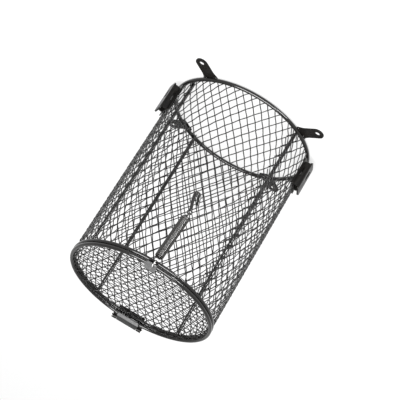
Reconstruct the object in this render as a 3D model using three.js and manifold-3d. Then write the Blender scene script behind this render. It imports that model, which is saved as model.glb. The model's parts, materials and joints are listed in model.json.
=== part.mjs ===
// Round woven-wire guard cage for a heat lamp, with a hinged mesh lid that a spring and hook hold shut.
// Millimetres, +Z up. The origin is the centre of the mounting plane, which is the flat under face of the
// four screw tabs. The latch is at -Y, the hinge at +Y, and the lid closes the upper end.
import * as THREE from 'three';
import { mergeVertices } from 'three/addons/utils/BufferGeometryUtils.js';
import Module from 'manifold-3d';

const wasm = await Module();
wasm.setup();

// ---------- driving dimensions ----------
const GAP = 0.3;                    // clearance between pieces that touch

const RING_R = 73;                  // centreline radius of every ring
const OPEN_RING_D = 4;              // wire of the ring at the open end
const RIM_D = 3.5;                  // wire of the body rim and of the lid rim
const BODY_LENGTH = 200;            // centre of the open ring to the seam between body rim and lid rim

const SHEET = 1.2;                  // thickness of tabs, hinge leaves, saddles and the latch tab
const MESH_THICKNESS = 1.8;         // two crossing crimped wires
const MESH_COLUMNS = 51;            // diamonds round the wall
const LID_DISH = 4.1;               // how far the lid's mesh sinks into the cage at its middle
const LID_DISH_STEPS = 10;

const RIB_D = 3;
const RIB_ANGLES = [61, -44, -136, 146];        // degrees round from the latch, counter-clockwise

const TAB_ANGLES = [41.5, -45.5, 134.5, -143];  // degrees round from the latch
const TAB_HOLE_R = 92.7;            // from the cage's axis to the screw hole
const TAB_HOLE_D = 5;
const TAB_WIDTH = 12.8;
const TAB_ROOT_WIDTH = 15.5;
const TAB_FLARE = 6;                // from the ring's outside to where the tab reaches its narrow width
const TAB_SHOULDER = 1;             // the root stays wide to this far inside the ring's outside

const BRACKET_ANGLE = 75;           // each side of the latch
const STRAP = { width: 14, low: 8.5, high: 42, inner: 80, thickness: 1.5, corner: 3 };
const STRAP_SLOT = { width: 3.8, length: 10, z: 21 };
const SADDLE = { low: 9, high: 39, halfAngle: 9 };
const WEB = { low: 10, high: 38, half: 5.6, window: [16, 27], windowDepth: 1.2 };

const PIN_D = 2;
const PIN_HEAD = { step: 0.7, length: 0.7 };
const KNUCKLE_D = 4.2;
const KNUCKLE_GAP = 0.5;            // between neighbouring knuckles
const LID_KNUCKLE = 21.5;           // length of the lid's knuckle
const BODY_KNUCKLE = 4.75;          // length of each of the body's two knuckles
const PIN_Y = 81.5;
const LID_LEAF = { width: 23, inner: 64.5, corner: 2, shoulder: 3.5, neckStep: 1 };
const BODY_LEAF = { width: 28, low: 195.5, high: 200, armOverlap: 2, armEnd: 0.9 };

const LATCH_TAB = { x: 1.75, width: 11, inner: 66.5, outer: 81.6, corner: 3, hole: 78.2, holeR: 1.6 };
const SPRING = { outer: 4.2, wire: 1, top: 199.3, bottom: 151.5, y: -79.6, tilt: 2.7 };
const LINK_WIRE_R = 0.6;            // wire of the spring's two end loops
const LOOP_R = 2.1;
const TOP_LOOP = { r: 2.35, start: 185, end: -50, step: 23.5, neck: [0.2, 3.5], entry: [0.6, 3.2] };
const HOOK_WIRE_R = 1.6;
const HOOK_EYE_WIRE_R = 0.7;
// The hook's line as [x, y, z] steps from the foot of its eye: shank, bend and upturned tip.
const HOOK_LINE = [
  [0, 0, 0.4],
  [1.5, 0, -3.6],
  [3.2, 0, -8.1],
  [4.5, 0.1, -12.6],
  [5.2, 0.3, -15.9],
  [4.95, 0.6, -17.6],
  [3.6, 0.9, -18.65],
  [1.9, 1.25, -18.45],
  [0.8, 1.6, -17.2],
  [-0.2, 2.1, -14.5],
  [-1.3, 2.5, -11.5],
  [-2.4, 2.9, -8.5],
];

// Facets: steps round a curve.
const CORNER_STEPS = 8;
const RING_STEPS = 72;
const WIRE_SIDES = 12;

// ---------- places worked out from them ----------
const OPEN_RING_Z = SHEET + GAP + OPEN_RING_D / 2;
const SEAM_Z = OPEN_RING_Z + BODY_LENGTH;
const BODY_RIM_Z = SEAM_Z - GAP / 2 - RIM_D / 2;
const LID_RIM_Z = SEAM_Z + GAP / 2 + RIM_D / 2;
const WALL_OUTER = RING_R + MESH_THICKNESS / 2;
const WALL_INNER = RING_R - MESH_THICKNESS / 2;
const LID_PLATE_Z = LID_RIM_Z + RIM_D / 2 + GAP;
const PIN_Z = LID_PLATE_Z + SHEET - KNUCKLE_D / 2;
const WEB_CENTRE_Y = -(LATCH_TAB.hole + LATCH_TAB.holeR + LATCH_TAB.outer) / 2;

// ---------- colours ----------
const FINISHES = {
  wire: { color: 0x1c1b19, roughness: 0.3, metalness: 0.55 },
  mesh: { color: 0x242321, roughness: 0.42, metalness: 0.5 },
  plate: { color: 0x2b2a28, roughness: 0.35, metalness: 0.5 },
  leaf: { color: 0x6d6d6b, roughness: 0.38, metalness: 0.8 },
  spring: { color: 0x2a2823, roughness: 0.32, metalness: 0.8 },
  bright: { color: 0xa9a9a6, roughness: 0.25, metalness: 1 },
};

// ---------- helpers ----------
const radians = THREE.MathUtils.degToRad;

function signedVolume(geometry) {
  const p = geometry.attributes.position;
  const index = geometry.index.array;
  const corner = [new THREE.Vector3(), new THREE.Vector3(), new THREE.Vector3()];
  let volume = 0;
  for (let i = 0; i < index.length; i += 3) {
    corner.forEach((v, k) => v.fromBufferAttribute(p, index[i + k]));
    volume += corner[0].dot(corner[1].cross(corner[2])) / 6;
  }
  return volume;
}

// One closed mesh with shared corners and its faces pointing out.
function closed(geometry) {
  const bare = geometry.clone();
  bare.deleteAttribute('normal');
  bare.deleteAttribute('uv');
  const merged = mergeVertices(bare, 1e-4);
  const kept = [];
  const source = merged.index.array;
  for (let i = 0; i < source.length; i += 3) {
    const [a, b, c] = [source[i], source[i + 1], source[i + 2]];
    if (a !== b && b !== c && c !== a) kept.push(a, b, c);
  }
  merged.setIndex(kept);
  if (signedVolume(merged) < 0) {
    for (let i = 0; i < kept.length; i += 3) [kept[i], kept[i + 1]] = [kept[i + 1], kept[i]];
    merged.setIndex(kept);
  }
  return merged;
}

function toManifold(geometry) {
  const mesh = closed(geometry);
  return new wasm.Manifold(new wasm.Mesh({
    numProp: 3,
    vertProperties: new Float32Array(mesh.attributes.position.array),
    triVerts: new Uint32Array(mesh.index.array),
  }));
}

function fromManifold(solid) {
  const mesh = solid.getMesh();
  const geometry = new THREE.BufferGeometry();
  geometry.setAttribute('position', new THREE.BufferAttribute(new Float32Array(mesh.vertProperties), 3));
  geometry.setIndex(new THREE.BufferAttribute(new Uint32Array(mesh.triVerts), 1));
  return geometry;
}

function join(...geometries) {
  return fromManifold(geometries.map(toManifold).reduce((all, next) => all.add(next)));
}

function cut(geometry, ...tools) {
  const start = toManifold(geometry);
  return fromManifold(tools.map(toManifold).reduce((left, tool) => left.subtract(tool), start));
}

function piece(name, geometry, finish) {
  const mesh = new THREE.Mesh(closed(geometry), new THREE.MeshStandardMaterial(FINISHES[finish]));
  mesh.name = name;
  return mesh;
}

// A flat plate: an outline in XY, given thickness along +Z.
function plate(outline, thickness, z = 0) {
  const options = { depth: thickness, bevelEnabled: false, curveSegments: CORNER_STEPS };
  return new THREE.ExtrudeGeometry(outline, options).translate(0, 0, z);
}

function block(x, y, z) {
  const size = [x, y, z].map(([low, high]) => high - low);
  const middle = [x, y, z].map(([low, high]) => (low + high) / 2);
  return new THREE.BoxGeometry(...size).translate(...middle);
}

function rod(radius, length, sides = WIRE_SIDES) {
  return new THREE.CylinderGeometry(radius, radius, length, sides).rotateX(Math.PI / 2);
}

function rodAlongX(radius, low, high, y, z, sides = 16) {
  return new THREE.CylinderGeometry(radius, radius, high - low, sides)
    .rotateZ(Math.PI / 2)
    .translate((low + high) / 2, y, z);
}

function ring(wireD) {
  return new THREE.TorusGeometry(RING_R, wireD / 2, 8, RING_STEPS);
}

// Round wire along a smooth line through the given points.
function bentWire(points, radius, steps, sides = 10) {
  const section = new THREE.Shape();
  section.absarc(0, 0, radius, 0, 2 * Math.PI);
  const corners = section.getSpacedPoints(sides).slice(0, sides);
  const stops = points.map((p) => new THREE.Vector3(...p));
  const extrudePath = new THREE.CatmullRomCurve3(stops, false, 'centripetal');
  return new THREE.ExtrudeGeometry(new THREE.Shape(corners), { steps, extrudePath, bevelEnabled: false });
}

// A solid of revolution about Y from [radius, height] pairs.
function turned(profile, sides) {
  return new THREE.LatheGeometry(profile.map(([r, y]) => new THREE.Vector2(r, y)), sides);
}

// Turned about Z so that local +X points outward at an angle counted from the latch.
function facing(angleFromLatch, ...meshes) {
  const group = new THREE.Group();
  group.rotation.z = radians(angleFromLatch - 90);
  group.add(...meshes);
  return group;
}

function roundedRectangle(x0, x1, y0, y1, r) {
  const shape = new THREE.Shape();
  shape.moveTo(x0 + r, y0);
  shape.lineTo(x1 - r, y0);
  shape.absarc(x1 - r, y0 + r, r, -Math.PI / 2, 0);
  shape.lineTo(x1, y1 - r);
  shape.absarc(x1 - r, y1 - r, r, 0, Math.PI / 2);
  shape.lineTo(x0 + r, y1);
  shape.absarc(x0 + r, y1 - r, r, Math.PI / 2, Math.PI);
  shape.lineTo(x0, y0 + r);
  shape.absarc(x0 + r, y0 + r, r, Math.PI, 1.5 * Math.PI);
  return shape;
}

// ---------- the cage's body ----------
function wallMesh() {
  const low = OPEN_RING_Z + OPEN_RING_D / 2 + GAP;
  const high = BODY_RIM_Z - RIM_D / 2 - GAP;
  const profile = [
    [WALL_INNER, low], [WALL_OUTER, low], [WALL_OUTER, high], [WALL_INNER, high], [WALL_INNER, low],
  ];
  return turned(profile, MESH_COLUMNS).rotateX(Math.PI / 2);
}

function rib(number, angle) {
  const low = SHEET + GAP;
  const high = BODY_RIM_Z + RIM_D / 2;
  const radius = RING_R - OPEN_RING_D / 2 - GAP - RIB_D / 2;
  const geometry = rod(RIB_D / 2, high - low).translate(radius, 0, (low + high) / 2);
  return facing(angle, piece(`rib_${number}`, geometry, 'wire'));
}

function mountingTab(number, angle) {
  const half = TAB_WIDTH / 2;
  const root = TAB_ROOT_WIDTH / 2;
  const rootR = RING_R - OPEN_RING_D / 2;
  const shoulder = RING_R + OPEN_RING_D / 2 - TAB_SHOULDER;
  const flareEnd = RING_R + OPEN_RING_D / 2 + TAB_FLARE;
  const bend = flareEnd - TAB_FLARE / 2;
  const outline = new THREE.Shape();
  outline.moveTo(rootR, -root);
  outline.lineTo(shoulder, -root);
  outline.quadraticCurveTo(bend, -half, flareEnd, -half);
  outline.lineTo(TAB_HOLE_R, -half);
  outline.absarc(TAB_HOLE_R, 0, half, -Math.PI / 2, Math.PI / 2);
  outline.lineTo(flareEnd, half);
  outline.quadraticCurveTo(bend, half, shoulder, root);
  outline.lineTo(rootR, root);
  const hole = new THREE.Path();
  hole.absarc(TAB_HOLE_R, 0, TAB_HOLE_D / 2, 0, 2 * Math.PI, true);
  outline.holes.push(hole);
  return facing(angle, piece(`mounting_tab_${number}`, plate(outline, SHEET), 'plate'));
}

// The flat strap with a screw slot that stands off the wall near the open end.
function strap() {
  const half = STRAP.width / 2;
  const outline = roundedRectangle(-half, half, STRAP.low, STRAP.high, STRAP.corner);
  const r = STRAP_SLOT.width / 2;
  const reach = STRAP_SLOT.length / 2 - r;
  const slot = new THREE.Path();
  slot.absarc(0, STRAP_SLOT.z + reach, r, 0, Math.PI);
  slot.absarc(0, STRAP_SLOT.z - reach, r, Math.PI, 2 * Math.PI);
  slot.closePath();
  outline.holes.push(slot);
  return plate(outline, STRAP.thickness)
    .rotateX(Math.PI / 2)
    .rotateZ(Math.PI / 2)
    .translate(STRAP.inner, 0, 0);
}

// The curved plate welded to the wall, with two upright webs, each with a window, that carry the strap.
function saddle() {
  const inner = WALL_OUTER + GAP;
  const outer = inner + SHEET;
  const half = radians(SADDLE.halfAngle);
  const outline = new THREE.Shape();
  outline.absarc(0, 0, outer, -half, half);
  outline.absarc(0, 0, inner, half, -half, true);
  const shell = plate(outline, SADDLE.high - SADDLE.low, SADDLE.low);
  const webs = [-WEB.half, WEB.half - SHEET].map((side) => (
    block([inner + SHEET / 2, STRAP.inner - GAP], [side, side + SHEET], [WEB.low, WEB.high])
  ));
  const window = block([outer, outer + WEB.windowDepth], [-WEB.half - 1, WEB.half + 1], WEB.window);
  return cut(join(shell, ...webs), window);
}

function sideBracket(side, angle) {
  return facing(
    angle,
    piece(`side_saddle_${side}`, saddle(), 'plate'),
    piece(`side_strap_${side}`, strap(), 'plate'),
  );
}

// ---------- hinge ----------
const HINGE_HALF = LID_KNUCKLE / 2 + KNUCKLE_GAP + BODY_KNUCKLE;
const bore = () => rodAlongX(PIN_D / 2 + GAP, -HINGE_HALF - 1, HINGE_HALF + 1, PIN_Y, PIN_Z);
const knuckle = (low, high) => rodAlongX(KNUCKLE_D / 2, low, high, PIN_Y, PIN_Z, 20);
const plateAcross = (outline, x, width) => (
  plate(outline, width).rotateX(Math.PI / 2).rotateZ(Math.PI / 2).translate(x, 0, 0)
);

function hingeBodyLeaf() {
  const y = RING_R + RIM_D / 2 + GAP;
  const half = BODY_LEAF.width / 2;
  const leaf = block([-half, half], [y, y + SHEET], [BODY_LEAF.low, BODY_LEAF.high]);
  const root = BODY_LEAF.high - BODY_LEAF.armOverlap;
  const arm = new THREE.Shape();
  arm.moveTo(y, root);
  arm.lineTo(y + SHEET, root);
  arm.lineTo(y + SHEET, SEAM_Z - SHEET);
  arm.lineTo(PIN_Y + SHEET / 4, PIN_Z - KNUCKLE_D / 2);
  arm.lineTo(PIN_Y - SHEET / 4, PIN_Z - BODY_LEAF.armEnd);
  arm.lineTo(y, SEAM_Z - GAP);
  const solids = [leaf];
  const near = LID_KNUCKLE / 2 + KNUCKLE_GAP;
  for (const low of [near, -near - BODY_KNUCKLE]) {
    solids.push(plateAcross(arm, low, BODY_KNUCKLE), knuckle(low, low + BODY_KNUCKLE));
  }
  return cut(join(...solids), bore());
}

function hingeLidLeaf() {
  const half = LID_LEAF.width / 2;
  const neck = LID_KNUCKLE / 2;
  const shoulder = RING_R + LID_LEAF.shoulder;
  const { inner, corner, neckStep } = LID_LEAF;
  const outline = new THREE.Shape();
  outline.moveTo(-half + corner, inner);
  outline.lineTo(half - corner, inner);
  outline.absarc(half - corner, inner + corner, corner, -Math.PI / 2, 0);
  outline.lineTo(half, shoulder);
  outline.lineTo(neck, shoulder + neckStep);
  outline.lineTo(neck, PIN_Y);
  outline.lineTo(-neck, PIN_Y);
  outline.lineTo(-neck, shoulder + neckStep);
  outline.lineTo(-half, shoulder);
  outline.absarc(-half + corner, inner + corner, corner, Math.PI, 1.5 * Math.PI);
  return cut(join(plate(outline, SHEET, LID_PLATE_Z), knuckle(-neck, neck)), bore());
}

function hingePin() {
  const end = HINGE_HALF + GAP;
  const tip = end + PIN_HEAD.length;
  const shankR = PIN_D / 2;
  const headR = shankR + PIN_HEAD.step;
  const profile = [
    [0, -tip], [headR, -tip], [headR, -end], [shankR, -end],
    [shankR, end], [headR, end], [headR, tip], [0, tip],
  ];
  return turned(profile, 16).rotateZ(Math.PI / 2).translate(0, PIN_Y, PIN_Z);
}

// ---------- lid and latch ----------
// A shallow dish: its rim lies in the lid rim's plane and its middle sinks towards the lamp.
function lidMesh() {
  const radius = RING_R - RIM_D / 2 - GAP;
  const sheet = [];
  for (let i = 0; i <= LID_DISH_STEPS; i += 1) {
    const share = i / LID_DISH_STEPS;
    sheet.push([share * radius, LID_RIM_Z - LID_DISH * (1 - share * share)]);
  }
  const under = sheet.map(([r, z]) => [r, z - MESH_THICKNESS / 2]);
  const over = sheet.map(([r, z]) => [r, z + MESH_THICKNESS / 2]).reverse();
  return turned([...under, ...over], MESH_COLUMNS).rotateX(Math.PI / 2);
}

function latchTab() {
  const half = LATCH_TAB.width / 2;
  const outline = roundedRectangle(
    LATCH_TAB.x - half, LATCH_TAB.x + half, -LATCH_TAB.outer, -LATCH_TAB.inner, LATCH_TAB.corner,
  );
  const hole = new THREE.Path();
  hole.absarc(0, -LATCH_TAB.hole, LATCH_TAB.holeR, 0, 2 * Math.PI, true);
  outline.holes.push(hole);
  return plate(outline, SHEET, LID_PLATE_Z);
}

// The latch's own frame has its origin in the strip of metal that the spring's top loop turns on.
const PIVOT = [0, WEB_CENTRE_Y, LID_PLATE_Z + SHEET / 2];
const springY = SPRING.y - PIVOT[1];
const springTop = SPRING.top - PIVOT[2];
const springBottom = SPRING.bottom - PIVOT[2];

function latchSpring() {
  const inner = SPRING.outer - SPRING.wire;
  const profile = [
    [inner, springBottom], [SPRING.outer, springBottom], [SPRING.outer, springTop],
    [inner, springTop], [inner, springBottom],
  ];
  return turned(profile, 24).rotateX(Math.PI / 2).translate(0, springY, 0);
}

// Up from the coil, round the outside of the tab's edge and down through the tab's hole.
function springTopLoop() {
  const { r, start, end, step, neck, entry } = TOP_LOOP;
  const points = [
    [0, springY, springTop + GAP],
    [0, springY - neck[0], springTop + neck[1]],
    [0, entry[0] - r, -entry[1]],
  ];
  for (let degrees = start; degrees >= end; degrees -= step) {
    points.push([0, r * Math.cos(radians(degrees)), r * Math.sin(radians(degrees))]);
  }
  return bentWire(points, LINK_WIRE_R, 36);
}

const loopZ = springBottom - GAP - LINK_WIRE_R - LOOP_R;
const eyeZ = loopZ - 2 * LOOP_R + LINK_WIRE_R + HOOK_EYE_WIRE_R + GAP;

function springLowerLoop() {
  return new THREE.TorusGeometry(LOOP_R, LINK_WIRE_R, 10, 24)
    .rotateY(Math.PI / 2)
    .translate(0, springY, loopZ);
}

// A stout wire hook: an eye on the spring's lower loop, a shank, and a tip that turns up beside it.
function latchHook() {
  const eye = new THREE.TorusGeometry(LOOP_R, HOOK_EYE_WIRE_R, 10, 24)
    .rotateX(Math.PI / 2)
    .translate(0, springY, eyeZ);
  const foot = eyeZ - LOOP_R;
  const line = HOOK_LINE.map(([x, y, z]) => [x, springY + y, foot + z]);
  return join(eye, bentWire(line, HOOK_WIRE_R, 44, WIRE_SIDES));
}

function latch() {
  const group = new THREE.Group();
  group.position.set(...PIVOT);
  group.rotation.y = radians(SPRING.tilt);
  group.add(
    piece('spring_top_loop', springTopLoop(), 'bright'),
    piece('latch_spring', latchSpring(), 'spring'),
    piece('spring_lower_loop', springLowerLoop(), 'spring'),
    piece('latch_hook', latchHook(), 'wire'),
  );
  return group;
}

// ---------- assembly ----------
const cage = new THREE.Group();
cage.add(
  piece('open_ring', ring(OPEN_RING_D).translate(0, 0, OPEN_RING_Z), 'wire'),
  piece('body_rim', ring(RIM_D).translate(0, 0, BODY_RIM_Z), 'wire'),
  piece('wall_mesh', wallMesh(), 'mesh'),
  ...RIB_ANGLES.map((angle, i) => rib(i + 1, angle)),
  ...TAB_ANGLES.map((angle, i) => mountingTab(i + 1, angle)),
  sideBracket('left', BRACKET_ANGLE),
  sideBracket('right', -BRACKET_ANGLE),
  piece('hinge_body_leaf', hingeBodyLeaf(), 'plate'),
  piece('hinge_pin', hingePin(), 'bright'),
  piece('hinge_lid_leaf', hingeLidLeaf(), 'leaf'),
  piece('lid_rim', ring(RIM_D).translate(0, 0, LID_RIM_Z), 'wire'),
  piece('lid_mesh', lidMesh(), 'mesh'),
  piece('latch_tab', latchTab(), 'leaf'),
  latch(),
);

export default cage;
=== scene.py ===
"""Looks of a woven-wire heat lamp guard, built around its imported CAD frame.

Metres, in the frame's own axes: +Z from the open end to the lid, the latch at -Y and the hinge at +Y.
"""

import json
import math
import random

import bpy
import numpy as np
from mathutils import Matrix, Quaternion, Vector


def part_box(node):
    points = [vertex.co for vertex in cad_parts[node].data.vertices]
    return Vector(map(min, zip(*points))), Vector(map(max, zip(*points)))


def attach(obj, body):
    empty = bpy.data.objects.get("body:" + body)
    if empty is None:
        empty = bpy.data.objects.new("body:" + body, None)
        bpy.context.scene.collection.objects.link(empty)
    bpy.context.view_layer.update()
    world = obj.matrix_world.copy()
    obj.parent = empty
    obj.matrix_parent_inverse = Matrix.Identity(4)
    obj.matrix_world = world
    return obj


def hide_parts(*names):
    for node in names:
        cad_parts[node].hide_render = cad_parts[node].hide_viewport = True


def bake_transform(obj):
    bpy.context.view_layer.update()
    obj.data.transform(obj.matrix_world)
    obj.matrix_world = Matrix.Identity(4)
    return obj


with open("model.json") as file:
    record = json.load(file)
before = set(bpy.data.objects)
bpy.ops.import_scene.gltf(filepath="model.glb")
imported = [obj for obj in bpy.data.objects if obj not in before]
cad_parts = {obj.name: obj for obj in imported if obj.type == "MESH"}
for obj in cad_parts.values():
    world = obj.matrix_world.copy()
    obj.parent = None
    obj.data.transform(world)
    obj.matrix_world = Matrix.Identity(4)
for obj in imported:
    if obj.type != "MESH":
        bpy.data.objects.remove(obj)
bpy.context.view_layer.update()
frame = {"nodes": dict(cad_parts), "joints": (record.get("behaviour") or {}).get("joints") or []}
nodes = frame["nodes"]
MM = 0.001
TAU = 2 * math.pi
UP = (0, 0, 1)
rng = random.Random(7)

# ---------- driving sizes that the frame doesn't give, in metres ----------
RING_STEPS = 240                # points round a ring's wire
RING_SIDES = 20                 # points round the wire itself
MEAN_WIRE = 0.995               # mean thickness of a ring's wire, as a share of the CAD's
LONG_RIPPLE = (0.006, 9)        # how much a ring's wire swells, as a share, in how many waves round it
SHORT_RIPPLE = (0.004, 23)
SEAM_BEAD = (0.65, 1.07, 1.07)  # a ring's weld, in wire radii: half its size along, outwards and up
ROD_R = 1.75 * MM
ROD_STEPS = 60                  # points along a rod
ROD_SIDES = 18
ROD_BOW = 0.25 * MM             # how far a rod bows inwards at half its height
SPOT_WELD = (1.5 * MM, 0.8 * MM, 1.5 * MM)  # half its size round the cage, outwards and up
TAB_WELD = (2.6 * MM, 0.9 * MM, 0.8 * MM)
TAB_WELD_SIDE = 5.6 * MM        # a tab's welds lie this far to each side of its middle
TAB_WELD_OUT = 1.1 * MM         # and this far to each side of the open ring's centreline
TAB_WELD_UP = 0.35 * MM         # with their centres this far above the tab

COLUMNS = 51                    # diamonds round the wall
DIAMOND_HEIGHT = 12.62 * MM
WALL_START = (-0.166, 0.2745)   # a crossing, in diamonds round from the latch and up from z = 0
LID_DIAMOND = (9.0 * MM, 12.73 * MM)
LID_START = (-0.326, -0.002)    # a crossing, in diamonds from the lid's centre
LID_MESH_ANGLE = math.radians(168.55)   # direction of the lid's diamonds' long diagonal, from +X
LID_DISH = 4.1 * MM             # how far the lid's mesh sinks at its middle
MESH_WIRE_R = 0.5 * MM
LID_WIRE_R = 0.38 * MM
WALL_WIRE_SIDES = 6
LID_WIRE_SIDES = 8
CRIMP = 0.42 * MM               # how far a wire swings each side of the mesh's middle surface
STEPS_PER_CROSSING = 5          # points along a wall wire from one crossing to the next
LID_STEPS_PER_DIAMOND = 16      # points along a lid wire in a diamond's length
LID_SHORTEST = 6                # a lid wire with fewer points than this is left out
WALL_LIFT = 0.3 * MM            # wall wires start this far above the open ring's centreline
WALL_STRAY = 0.25 * MM          # the most that a wall wire strays sideways
HEM = 7 * MM                    # length of a wall wire's end, drawn in to the rim
LAP_FROM = math.radians(-45)    # the wall's sheet laps over itself between these angles from the latch
LAP_WIDTH = math.radians(11)
LAP_OUT = 1.75 * MM             # the lapped layer lies this far outside the wall
LAP_SHIFT = (0.38, 0.22)        # and this far out of step with it, in diamonds

EDGE = 0.3 * MM                 # rounding on the sheet pieces' edges
PIN_EDGE = 0.2 * MM
KNUCKLE_START = 70.5 * MM       # past this y the lid leaf and its knuckle keep their black lacquer, without the leaf's painted grey reflection
SPRING_WIRE_R = 0.5 * MM
COIL_PITCH = 1.02               # from turn to turn, in wire thicknesses
COIL_STEPS = 22                 # points round a turn
COIL_WIRE_SIDES = 16
COIL_WIRE_SQUARE = 4            # a squarish section, for a straight highlight down the spring
TAPER_TURNS = 2.4               # turns that draw in at each end of the coil
TAPER_START = 0.52              # and the share of the coil's radius that they start from


# ---------- mesh building ----------
class Shape:
    """Vertices and faces gathered from several parts."""

    def __init__(self):
        self.verts = []
        self.faces = []
        self.count = 0

    def add(self, verts, faces):
        self.verts.append(np.asarray(verts, float))
        self.faces += [[i + self.count for i in face] for face in faces]
        self.count += len(verts)

    def mesh(self, name):
        mesh = bpy.data.meshes.new(name)
        mesh.from_pydata(np.concatenate(self.verts).tolist(), [], self.faces)
        mesh.update()
        return mesh


def unit(v):
    v = np.asarray(v, float)
    return v / np.linalg.norm(v, axis=-1, keepdims=True)


def polar(angle, r, z=0.0):
    """The point at this angle round from the latch, counter-clockwise, in radians."""
    a = angle - math.pi / 2
    return np.array([r * math.cos(a), r * math.sin(a), z])


def tube(points, radius, sides, up, closed=False, square=2):
    """Wire along points, with a corner of its section facing up.

    radius and up are the same all along, or one for each point. A square of 2 is a round section, and
    more is squarer.
    """
    p = np.asarray(points, float)
    n = len(p)
    ahead = np.roll(p, -1, 0) - np.roll(p, 1, 0)
    if not closed:
        ahead[0] = p[1] - p[0]
        ahead[-1] = p[-1] - p[-2]
    t = unit(ahead)
    side = unit(np.cross(t, np.broadcast_to(np.asarray(up, float), p.shape)))
    u = np.cross(side, t)
    a = np.arange(sides) * TAU / sides
    swell = (np.abs(np.cos(a)) ** square + np.abs(np.sin(a)) ** square) ** (-1 / square)
    across = (swell * np.cos(a))[None, :, None]
    rings = across * u[:, None] + (swell * np.sin(a))[None, :, None] * side[:, None]
    r = np.broadcast_to(np.asarray(radius, float), (n,))
    verts = (p[:, None] + r[:, None, None] * rings).reshape(-1, 3)
    faces = []
    for i in range(n if closed else n - 1):
        low = i * sides
        high = (i + 1) % n * sides
        for j in range(sides):
            k = (j + 1) % sides
            faces.append([low + j, low + k, high + k, high + j])
    if not closed:
        faces.append(list(range(sides))[::-1])
        faces.append([(n - 1) * sides + j for j in range(sides)])
    return verts, faces


def rounded_ends(points, radius, cap=0.6):
    """A radius for each point that closes the wire's two ends to soft domes."""
    p = np.asarray(points)
    along = np.concatenate([[0], np.cumsum(np.linalg.norm(np.diff(p, axis=0), axis=1))])
    nearest = np.minimum(along, along[-1] - along)
    reach = np.clip(nearest / (radius * cap), 0, 1)
    return radius * np.sqrt(np.clip(1 - (1 - reach) ** 2, 0.02, 1))


def nugget(centre, size, frame_axes, wobble=0.15, rings=6, sides=10):
    """A weld bead: a lumpy dome-ended blob. size is its half length along each of frame_axes."""
    verts = [np.array([0, 0, -1.0])]
    for i in range(1, rings):
        down = math.pi * i / rings
        for j in range(sides):
            a = TAU * j / sides
            ring = [math.sin(down) * math.cos(a), math.sin(down) * math.sin(a), -math.cos(down)]
            verts.append(np.array(ring) * (1 + rng.uniform(-wobble, wobble)))
    verts.append(np.array([0, 0, 1.0]))
    last = len(verts) - 1
    faces = []
    for j in range(sides):
        k = (j + 1) % sides
        faces.append([0, 1 + k, 1 + j])
        faces.append([last, last - sides + j, last - sides + k])
        for i in range(rings - 2):
            low = 1 + i * sides
            faces.append([low + j, low + k, low + sides + k, low + sides + j])
    axes = unit(np.array(frame_axes, float)) * np.array(size)[:, None]
    return np.array(verts) @ axes + np.asarray(centre), faces


def round_out_up(angle):
    """Directions round the cage, out from it and up, at this angle from the latch."""
    return [polar(angle + math.pi / 2, 1), polar(angle, 1), UP]


# ---------- materials ----------
def node(tree, kind, links=(), **settings):
    """A new node with its own settings, and links from sockets to its inputs by name."""
    made = tree.nodes.new(kind)
    for name, value in settings.items():
        setattr(made, name, value)
    for source, target in links:
        tree.links.new(source, made.inputs[target])
    return made


def noise(tree, where, scale, detail=4.0, roughness=0.6):
    made = node(tree, "ShaderNodeTexNoise", [(where, "Vector")])
    made.inputs["Scale"].default_value = scale
    made.inputs["Detail"].default_value = detail
    made.inputs["Roughness"].default_value = roughness
    return made.outputs["Fac"]


def ramp(tree, factor, stops):
    made = node(tree, "ShaderNodeValToRGB", [(factor, "Fac")])
    elements = made.color_ramp.elements
    while len(elements) < len(stops):
        elements.new(0.5)
    for element, (position, colour) in zip(elements, stops):
        element.position = position
        element.color = (*colour, 1)
    return made.outputs["Color"]


def spread(tree, factor, low, high, start=0.3, end=0.7):
    """Low where the factor is at start, high where it is at end, and even between them."""
    made = node(tree, "ShaderNodeMapRange", [(factor, "Value")])
    made.inputs["From Min"].default_value = start
    made.inputs["From Max"].default_value = end
    made.inputs["To Min"].default_value = low
    made.inputs["To Max"].default_value = high
    return made.outputs["Result"]


def mixed(tree, factor, colour, other):
    """A colour socket that goes over to another, fixed colour as the factor goes from 0 to 1."""
    mix = node(tree, "ShaderNodeMix", data_type="RGBA")
    tree.links.new(factor, mix.inputs[0])
    tree.links.new(colour, mix.inputs[6])
    mix.inputs[7].default_value = (*other, 1)
    return mix.outputs[2]


def grey(v, warm=0.0):
    return (v * (1 + warm), v, v * (1 - warm))


TONE_STOPS = (0.3, 0.5, 0.72)   # noise levels of a metal's darkest, usual and palest tones
RELIEF = 0.05 * MM              # depth of the finest grain
KNUCKLE_BLACK = grey(0.004)
KNUCKLE_SPECULAR = 0.15
KNUCKLE_BLUR = 0.2 * MM         # width of the change to the black lacquer


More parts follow.
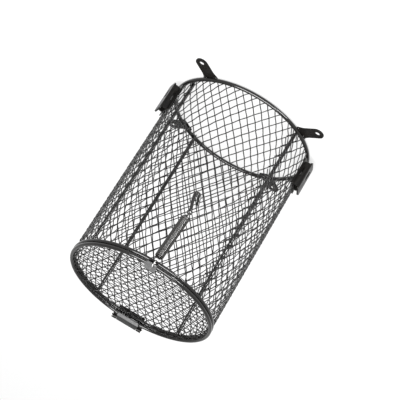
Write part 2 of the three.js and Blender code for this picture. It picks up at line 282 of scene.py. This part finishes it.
def coated_metal(name, tones, roughness, specular, grain, bump, metallic=0.0, coat=0.0, worn=None,
                 black_beyond=None):
    """Painted or bare metal. tones are its darkest, usual and palest colours.

    grain is the scale of its noise. worn tints patches of it, and black_beyond blackens it past that y.
    """
    material = bpy.data.materials.new(name)
    material.use_nodes = True
    tree = material.node_tree
    shader = tree.nodes["Principled BSDF"]
    where = node(tree, "ShaderNodeTexCoord").outputs["Object"]
    tone = noise(tree, where, grain)
    fine = noise(tree, where, grain * 6, detail=5, roughness=0.65)
    colour = ramp(tree, tone, list(zip(TONE_STOPS, tones)))
    if worn:
        blotches = noise(tree, where, grain * 2.3, detail=6, roughness=0.75)
        patches = spread(tree, blotches, 0, 1, start=0.62, end=0.7)
        colour = mixed(tree, patches, colour, worn)
    if black_beyond:
        parts = node(tree, "ShaderNodeSeparateXYZ", [(where, "Vector")])
        past = spread(tree, parts.outputs["Y"], 0, 1, black_beyond - KNUCKLE_BLUR, black_beyond)
        colour = mixed(tree, past, colour, KNUCKLE_BLACK)
    tree.links.new(colour, shader.inputs["Base Color"])
    tree.links.new(spread(tree, fine, *roughness), shader.inputs["Roughness"])
    relief = node(tree, "ShaderNodeBump", [(fine, "Height")])
    relief.inputs["Strength"].default_value = bump
    relief.inputs["Distance"].default_value = RELIEF
    tree.links.new(relief.outputs["Normal"], shader.inputs["Normal"])
    shader.inputs["Metallic"].default_value = metallic
    shader.inputs["Specular IOR Level"].default_value = specular
    if black_beyond:
        bare = spread(tree, past, metallic, 0, start=0, end=1)
        shine = spread(tree, past, specular, KNUCKLE_SPECULAR, start=0, end=1)
        tree.links.new(bare, shader.inputs["Metallic"])
        tree.links.new(shine, shader.inputs["Specular IOR Level"])
    shader.inputs["Coat Weight"].default_value = coat
    shader.inputs["Coat Roughness"].default_value = 0.08
    return material


LACQUER = coated_metal(
    "gloss_black_lacquer", [grey(0.002), grey(0.0035, 0.05), grey(0.006, 0.08)],
    (0.1, 0.2), specular=0.28, grain=420, bump=0.15, coat=0.25, worn=grey(0.01, 0.1),
)
MESH_LACQUER = coated_metal(
    "mesh_black_lacquer", [grey(0.002), grey(0.004, 0.04), grey(0.006, 0.06)],
    (0.16, 0.3), specular=0.26, grain=500, bump=0.2, coat=0.1, worn=grey(0.01, 0.08),
)
PLATE_LACQUER = coated_metal(
    "plate_black_lacquer", [grey(0.003), grey(0.005, 0.07), grey(0.008, 0.1)],
    (0.22, 0.4), specular=0.12, grain=380, bump=0.35, worn=grey(0.012, 0.1),
)
# The latch tab and the lid's hinge leaf are black lacquer too; their grey is a painted reflection of
# light on their lid-facing faces.
TAB_PAINTED_REFLECTION = coated_metal(
    "latch_tab_painted_grey_reflection", [grey(0.05), grey(0.08), grey(0.12)],
    (0.3, 0.5), specular=0.4, grain=450, bump=0.3, metallic=0.4, worn=grey(0.04),
)
LEAF_PAINTED_REFLECTION = coated_metal(
    "knuckled_leaf_painted_grey_reflection", [grey(0.07), grey(0.11), grey(0.16)],
    (0.3, 0.5), specular=0.4, grain=450, bump=0.3, metallic=0.3, worn=grey(0.04),
    black_beyond=KNUCKLE_START,
)
SPRING_STEEL = coated_metal(
    "oiled_spring_wire", [grey(0.002, 0.1), grey(0.0035, 0.18), grey(0.006, 0.22)],
    (0.1, 0.18), specular=0.45, grain=600, bump=0.1, coat=0.4,
)
BRIGHT_WIRE = coated_metal(
    "bright_drawn_steel", [grey(0.45), grey(0.6, 0.01), grey(0.72, 0.02)],
    (0.16, 0.32), specular=0.5, grain=700, bump=0.2, metallic=1.0,
)


# ---------- placing and finishing pieces ----------
def place(name, shape, material, body, replaced=(), blend=None):
    """Links a shape as a smooth-shaded piece that stands for CAD nodes and rides on a body, or with
    blend stays unparented where it is built.
    """
    mesh = shape.mesh(name)
    mesh.shade_smooth()
    mesh.materials.append(material)
    piece = bpy.data.objects.new(name, mesh)
    bpy.context.scene.collection.objects.link(piece)
    if blend:
        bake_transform(piece)
    else:
        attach(piece, body)
    if replaced:
        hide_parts(*replaced)


def finish(name, material):
    """A CAD node keeps its shape, with welded corners and a finish."""
    piece = nodes[name]
    piece.data.materials.clear()
    piece.data.materials.append(material)
    weld = piece.modifiers.new("weld", "WELD")
    weld.merge_threshold = 0.002 * MM
    piece.data.shade_smooth()
    return piece


def finish_sheet(name, material, edge=EDGE):
    """A sheet piece from the CAD, with its edges rounded."""
    bevel = finish(name, material).modifiers.new("edges", "BEVEL")
    bevel.width = edge
    bevel.segments = 3
    bevel.limit_method = "ANGLE"
    bevel.angle_limit = math.radians(40)
    bevel.harden_normals = False


def finish_wire(name, material):
    """A bent wire from the CAD, made rounder."""
    rounder = finish(name, material).modifiers.new("round", "SUBSURF")
    rounder.levels = 1
    rounder.render_levels = 1


# ---------- rings and rods ----------
def ring_facts(name):
    """Centreline radius, wire radius and height of a CAD ring."""
    low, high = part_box(name)
    wire_r = (high.z - low.z) / 2
    return high.x - wire_r, wire_r, (high.z + low.z) / 2


RING_R, OPEN_WIRE_R, OPEN_Z = ring_facts("open_ring")
_, RIM_WIRE_R, BODY_RIM_Z = ring_facts("body_rim")
LID_RIM_Z = ring_facts("lid_rim")[2]


def add_ring(name, cad, body, seam):
    """A ring of slightly uneven round wire, closed by a butt weld at the seam angle."""
    radius, wire_r, z = ring_facts(cad)
    angles = np.arange(RING_STEPS) * TAU / RING_STEPS
    points = [polar(a, radius, z) for a in angles]
    long_swell, long_waves = LONG_RIPPLE
    short_swell, short_waves = SHORT_RIPPLE
    swell = 1 + long_swell * np.sin(long_waves * angles + seam)
    swell += short_swell * np.sin(short_waves * angles)
    shape = Shape()
    shape.add(*tube(points, swell * MEAN_WIRE * wire_r, RING_SIDES, up=UP, closed=True))
    bead = [share * wire_r for share in SEAM_BEAD]
    shape.add(*nugget(polar(seam, radius, z), bead, round_out_up(seam), 0.04))
    place(name, shape, LACQUER, body, [cad])


def add_rod(name):
    """An upright rod inside the rings, with the spot welds that tie it to them."""
    low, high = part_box(name)
    middle = (low + high) / 2
    angle = math.atan2(middle.y, middle.x) + math.pi / 2
    axis_r = math.hypot(middle.x, middle.y)
    line = []
    for share in np.linspace(0, 1, ROD_STEPS):
        z = low.z + share * (high.z - low.z)
        line.append(polar(angle, axis_r - ROD_BOW * math.sin(math.pi * share), z))
    shape = Shape()
    shape.add(*tube(line, rounded_ends(line, ROD_R, 0.4), ROD_SIDES, up=polar(angle, 1)))
    for z, ring_wire_r in ((OPEN_Z, OPEN_WIRE_R), (BODY_RIM_Z, RIM_WIRE_R)):
        spot = polar(angle, (axis_r + ROD_R + RING_R - ring_wire_r) / 2, z)
        shape.add(*nugget(spot, SPOT_WELD, round_out_up(angle)))
    place(f"{name}_rod", shape, LACQUER, "cage_body", [name])


add_ring("open_ring_wire", "open_ring", "cage_body", math.radians(100))
add_ring("body_rim_wire", "body_rim", "cage_body", math.radians(-100))
add_ring("lid_rim_wire", "lid_rim", "lid", math.radians(118))
for name in ("rib_1", "rib_2", "rib_3", "rib_4"):
    add_rod(name)


# ---------- woven mesh ----------
COLUMN = TAU / COLUMNS
MESH_R = RING_R                 # the wall's middle surface meets the rings' centrelines
LID_MESH_R = RING_R - RIM_WIRE_R
LONG = np.array([math.cos(LID_MESH_ANGLE), math.sin(LID_MESH_ANGLE)])
SHORT = np.array([-LONG[1], LONG[0]])


def weave_line(family, number, diamond, start, v):
    """u and out-of-plane shift along one wire of a plain weave of diamonds.

    Family 1 leans one way and family -1 the other. u and v are counted from a crossing at start.
    """
    width, height = diamond
    rows = v / height - start[1]
    u = width * (start[0] + family * (number - rows))
    return u, family * CRIMP * np.cos(TAU * rows)


def wall_heights(low, high):
    """Heights along a wall wire, a few to each crossing."""
    return np.linspace(low, high, int((high - low) / DIAMOND_HEIGHT * 2 * STEPS_PER_CROSSING))


def wall_wire(family, number):
    """One wire of the wall, from inside the open ring to its end behind the body rim."""
    end = BODY_RIM_Z - RIM_WIRE_R * rng.uniform(0.1, 0.9)
    v = wall_heights(OPEN_Z + WALL_LIFT, end)
    stray = rng.uniform(-1, 1) * WALL_STRAY / MESH_R
    u, shift = weave_line(family, number, (COLUMN, DIAMOND_HEIGHT), WALL_START, v)
    near = np.clip((v - (end - HEM)) / HEM, 0, 1)
    near = near * near * (3 - 2 * near)
    inner = RING_R - RIM_WIRE_R - 0.6 * MESH_WIRE_R     # where its end lies against the rim
    r = (MESH_R + shift) * (1 - near) + inner * near
    line = [polar(a + stray, b, z) for a, b, z in zip(u, r, v)]
    return line + rim_tail(u[-1] + stray, inner, end, -family, number)


def rim_tail(angle, inner, end, direction, number):
    """A wall wire's tail, which turns to run along the inside of the rim."""
    reach = rng.uniform(3.5, 8) * MM
    rise = rng.uniform(0.2, 0.9) * MM
    tail = []
    for step in np.linspace(0.18, 1, 6):
        a = angle + direction * step * reach / inner
        z = end + rise * math.sin(step * math.pi / 2)
        unevenness = 0.12 * MM * math.sin(9 * a * number)
        tail.append(polar(a, inner + unevenness, z))
    return tail


def radial(line):
    """The direction straight out of the cage at each point."""
    flat = np.array(line)
    flat[:, 2] = 0
    return unit(flat)


def lap_wires(family, number):
    """The stretches of one wire that lie in the lap."""
    start = (WALL_START[0] + LAP_SHIFT[0], WALL_START[1] + LAP_SHIFT[1])
    v = wall_heights(OPEN_Z + OPEN_WIRE_R + MESH_WIRE_R, BODY_RIM_Z - RIM_WIRE_R - MESH_WIRE_R)
    u, shift = weave_line(family, number, (COLUMN, DIAMOND_HEIGHT), start, v)
    stretches = [[]]
    for a, b, z in zip(u, shift, v):
        if (a - LAP_FROM) % TAU < LAP_WIDTH:
            stretches[-1].append(polar(a, MESH_R + LAP_OUT + b, z))
        else:
            stretches.append([])
    return [points for points in stretches if len(points) > 2]


def add_wall():
    """The wall's wires, and the layer where its sheet laps over itself."""
    wall = Shape()
    lap = Shape()
    for family in (1, -1):
        for number in range(COLUMNS):
            line = wall_wire(family, number)
            wall.add(*tube(line, MESH_WIRE_R, WALL_WIRE_SIDES, up=radial(line)))
            for stretch in lap_wires(family, number):
                lap.add(*tube(stretch, MESH_WIRE_R, WALL_WIRE_SIDES, up=radial(stretch)))
    place("woven_wall", wall, MESH_LACQUER, "cage_body", ["wall_mesh"])
    place("wall_lap", lap, MESH_LACQUER, "cage_body", ())


def lid_wire(family, number):
    """One wire of the lid, cut where it meets the rim and turned along it at both ends."""
    v = np.arange(-LID_MESH_R, LID_MESH_R, LID_DIAMOND[1] / LID_STEPS_PER_DIAMOND)
    u, shift = weave_line(family, number, LID_DIAMOND, LID_START, v)
    inner = LID_MESH_R - 0.5 * MESH_WIRE_R
    inside = u * u + v * v < inner ** 2
    if inside.sum() < LID_SHORTEST:
        return None
    u, v, shift = u[inside], v[inside], shift[inside]
    flat = u[:, None] * SHORT + v[:, None] * LONG
    sink = LID_DISH * (1 - (u * u + v * v) / LID_MESH_R ** 2)
    line = [np.array([x, y, z]) for (x, y), z in zip(flat, LID_RIM_Z - sink + shift)]
    first = lid_tail(line[0], line[1], inner)
    last = lid_tail(line[-1], line[-2], inner)
    return [*first[::-1], *line, *last]


def lid_tail(end, before, inner):
    """A lid wire's tail, which runs along the inside of the rim from the wire's end."""
    x, y, z = end
    ahead = end - before
    angle = math.atan2(y, x)
    turn = 1 if -math.sin(angle) * ahead[0] + math.cos(angle) * ahead[1] > 0 else -1
    reach = rng.uniform(3, 8) * MM
    above_rim = rng.choice((-1, 1)) * rng.uniform(0.3, 1.1) * MM
    tail = []
    for step in np.linspace(0.15, 1, 7):
        a = angle + turn * step * reach / inner
        height = z + (LID_RIM_Z + above_rim - z) * step
        tail.append(np.array([inner * math.cos(a), inner * math.sin(a), height]))
    return tail


def add_lid_mesh():
    shape = Shape()
    outermost = 26              # no wire with a higher number reaches the lid
    for family in (1, -1):
        for number in range(-outermost, outermost + 1):
            line = lid_wire(family, number)
            if line:
                shape.add(*tube(line, LID_WIRE_R, LID_WIRE_SIDES, up=UP))
    place("woven_lid", shape, MESH_LACQUER, "lid", ["lid_mesh"])


add_wall()
add_lid_mesh()

# ---------- tabs, side brackets and hinge ----------
TABS = ("mounting_tab_1", "mounting_tab_2", "mounting_tab_3", "mounting_tab_4")
for name in TABS:
    finish_sheet(name, PLATE_LACQUER)
for side in ("left", "right"):
    finish_sheet(f"side_saddle_{side}", PLATE_LACQUER)
    finish_sheet(f"side_strap_{side}", PLATE_LACQUER)
finish_sheet("hinge_body_leaf", PLATE_LACQUER)
# The lid leaf and latch tab: black lacquer with a painted grey reflection.
finish_sheet("hinge_lid_leaf", LEAF_PAINTED_REFLECTION)
finish_sheet("latch_tab", TAB_PAINTED_REFLECTION)
finish_sheet("hinge_pin", BRIGHT_WIRE, PIN_EDGE)


def add_tab_welds():
    """Weld beads that tie the screw tabs to the open ring."""
    shape = Shape()
    for name in TABS:
        points = np.array([tuple(nodes[name].matrix_world @ v.co) for v in nodes[name].data.vertices])
        middle = points[:, :2].mean(0)
        angle = math.atan2(middle[1], middle[0]) + math.pi / 2
        z = points[:, 2].max() + TAB_WELD_UP
        for side in (-1, 1):
            a = angle + side * TAB_WELD_SIDE / RING_R
            for r in (RING_R + TAB_WELD_OUT, RING_R - TAB_WELD_OUT):
                shape.add(*nugget(polar(a, r, z), TAB_WELD, round_out_up(a)))
    place("tab_welds", shape, LACQUER, "cage_body", ())


add_tab_welds()

# ---------- latch ----------
JOINTS = {joint["name"]: joint for joint in frame["joints"]}
PIVOT = Vector(JOINTS["latch_swing"]["pos_m"])
DOWN = Vector(JOINTS["spring_stretch"]["axis"]).normalized()
ACROSS = Vector((0, 1, 0)).cross(DOWN).normalized()     # sideways, near -X
COIL_LOW, COIL_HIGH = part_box("latch_spring")
AXIS_Y = (COIL_LOW.y + COIL_HIGH.y) / 2
COIL_R = (COIL_HIGH.y - COIL_LOW.y) / 2 - SPRING_WIRE_R


def on_latch(across, out, down):
    """A point in the latch's own axes: across towards -X, out towards -Y, and down from its pivot."""
    start = Vector((PIVOT.x, AXIS_Y, PIVOT.z))
    return np.array(start + ACROSS * across + Vector((0, -1, 0)) * out + DOWN * down)


def down_of(z):
    return (PIVOT.z - z) / -DOWN.z


def add_coil():
    """The close-wound spring, between the lid's side and the hook's."""
    top = down_of(COIL_HIGH.z) + 0.1 * MM
    bottom = down_of(COIL_LOW.z) - 0.1 * MM
    turns = round((bottom - top) / (COIL_PITCH * 2 * SPRING_WIRE_R))
    coil = []
    for turn in np.linspace(0, turns, turns * COIL_STEPS + 1):
        a = turn * TAU
        near = min(turn / TAPER_TURNS, (turns - turn) / TAPER_TURNS, 1)
        r = COIL_R * (TAPER_START + (1 - TAPER_START) * math.sin(near * math.pi / 2))
        down = top + (bottom - top) * turn / turns
        coil.append(on_latch(r * math.sin(a), r * math.cos(a), down))
    shape = Shape()
    shape.add(*tube(coil, rounded_ends(coil, SPRING_WIRE_R), COIL_WIRE_SIDES,
                    up=np.array(DOWN), square=COIL_WIRE_SQUARE))
    place(
        "spring_coil", shape, SPRING_STEEL, "spring", ["latch_spring"],
        blend=("spring", "hook", on_latch(0, 0, top), on_latch(0, 0, bottom)),
    )


add_coil()
finish_wire("spring_top_loop", BRIGHT_WIRE)
finish_wire("spring_lower_loop", SPRING_STEEL)
finish_wire("latch_hook", LACQUER)

# ---------- floor, light and camera ----------
FLOOR_HALF = 6
FLOOR_DROP = 0.2 * MM           # keeps the tabs' faces clear of the floor
FLOOR_GREY = 0.17
FLOOR_GLOW = 0.68               # keeps the floor evenly pale, with only faint shadows
STUDIO_LIGHT = 0.8
CAMERA_AT = Vector((-0.0543, -1.2438, 0.6990))
CAMERA_AIM = Vector((-0.0017, 0, 0.0914))
CAMERA_ROLL = math.radians(-148.4)
CAMERA_LENS = 130.3             # in millimetres, like the sensor's width
SENSOR_WIDTH = 36


def link_object(name, data):
    made = bpy.data.objects.new(name, data)
    bpy.context.scene.collection.objects.link(made)
    return made


def add_floor():
    sides = ((-1, -1), (1, -1), (1, 1), (-1, 1))
    corners = [(x * FLOOR_HALF, y * FLOOR_HALF, -FLOOR_DROP) for x, y in sides]
    mesh = bpy.data.meshes.new("floor")
    mesh.from_pydata(corners, [], [(0, 1, 2, 3)])
    material = bpy.data.materials.new("pale_floor")
    material.use_nodes = True
    shader = material.node_tree.nodes["Principled BSDF"]
    shader.inputs["Base Color"].default_value = (*grey(FLOOR_GREY), 1)
    shader.inputs["Roughness"].default_value = 0.9
    shader.inputs["Specular IOR Level"].default_value = 0.1
    shader.inputs["Emission Color"].default_value = (1, 1, 1, 1)
    shader.inputs["Emission Strength"].default_value = FLOOR_GLOW
    mesh.materials.append(material)
    link_object("floor", mesh)


def add_studio():
    world = bpy.data.worlds.new("studio")
    bpy.context.scene.world = world
    world.use_nodes = True
    background = world.node_tree.nodes["Background"]
    background.inputs["Color"].default_value = (1, 1, 1, 1)
    background.inputs["Strength"].default_value = STUDIO_LIGHT


def soft_light(name, at, aim, size, power):
    lamp = bpy.data.lights.new(name, "AREA")
    lamp.shape = "RECTANGLE"
    lamp.size, lamp.size_y = size
    lamp.energy = power
    made = link_object(name, lamp)
    made.location = at
    made.rotation_euler = (Vector(aim) - Vector(at)).to_track_quat("-Z", "Y").to_euler()


def add_camera():
    data = bpy.data.cameras.new("camera")
    data.lens = CAMERA_LENS
    data.sensor_width = SENSOR_WIDTH
    camera = link_object("camera", data)
    aim = (CAMERA_AIM - CAMERA_AT).to_track_quat("-Z", "Y")
    camera.rotation_mode = "QUATERNION"
    camera.rotation_quaternion = aim @ Quaternion(UP, CAMERA_ROLL)
    camera.location = CAMERA_AT
    bpy.context.scene.camera = camera


add_floor()
add_studio()
soft_light("key", at=(0.1, -1.5, 1.9), aim=(0, 0, 0.15), size=(2.4, 1.1), power=200)
# A small low card, close to the latch, for the highlight down the spring.
soft_light("card", at=(-0.21, -0.30, 0.02), aim=(0, -0.08, 0.17), size=(0.12, 0.05), power=1.3)
add_camera()
bpy.context.scene.view_settings.view_transform = "Standard"
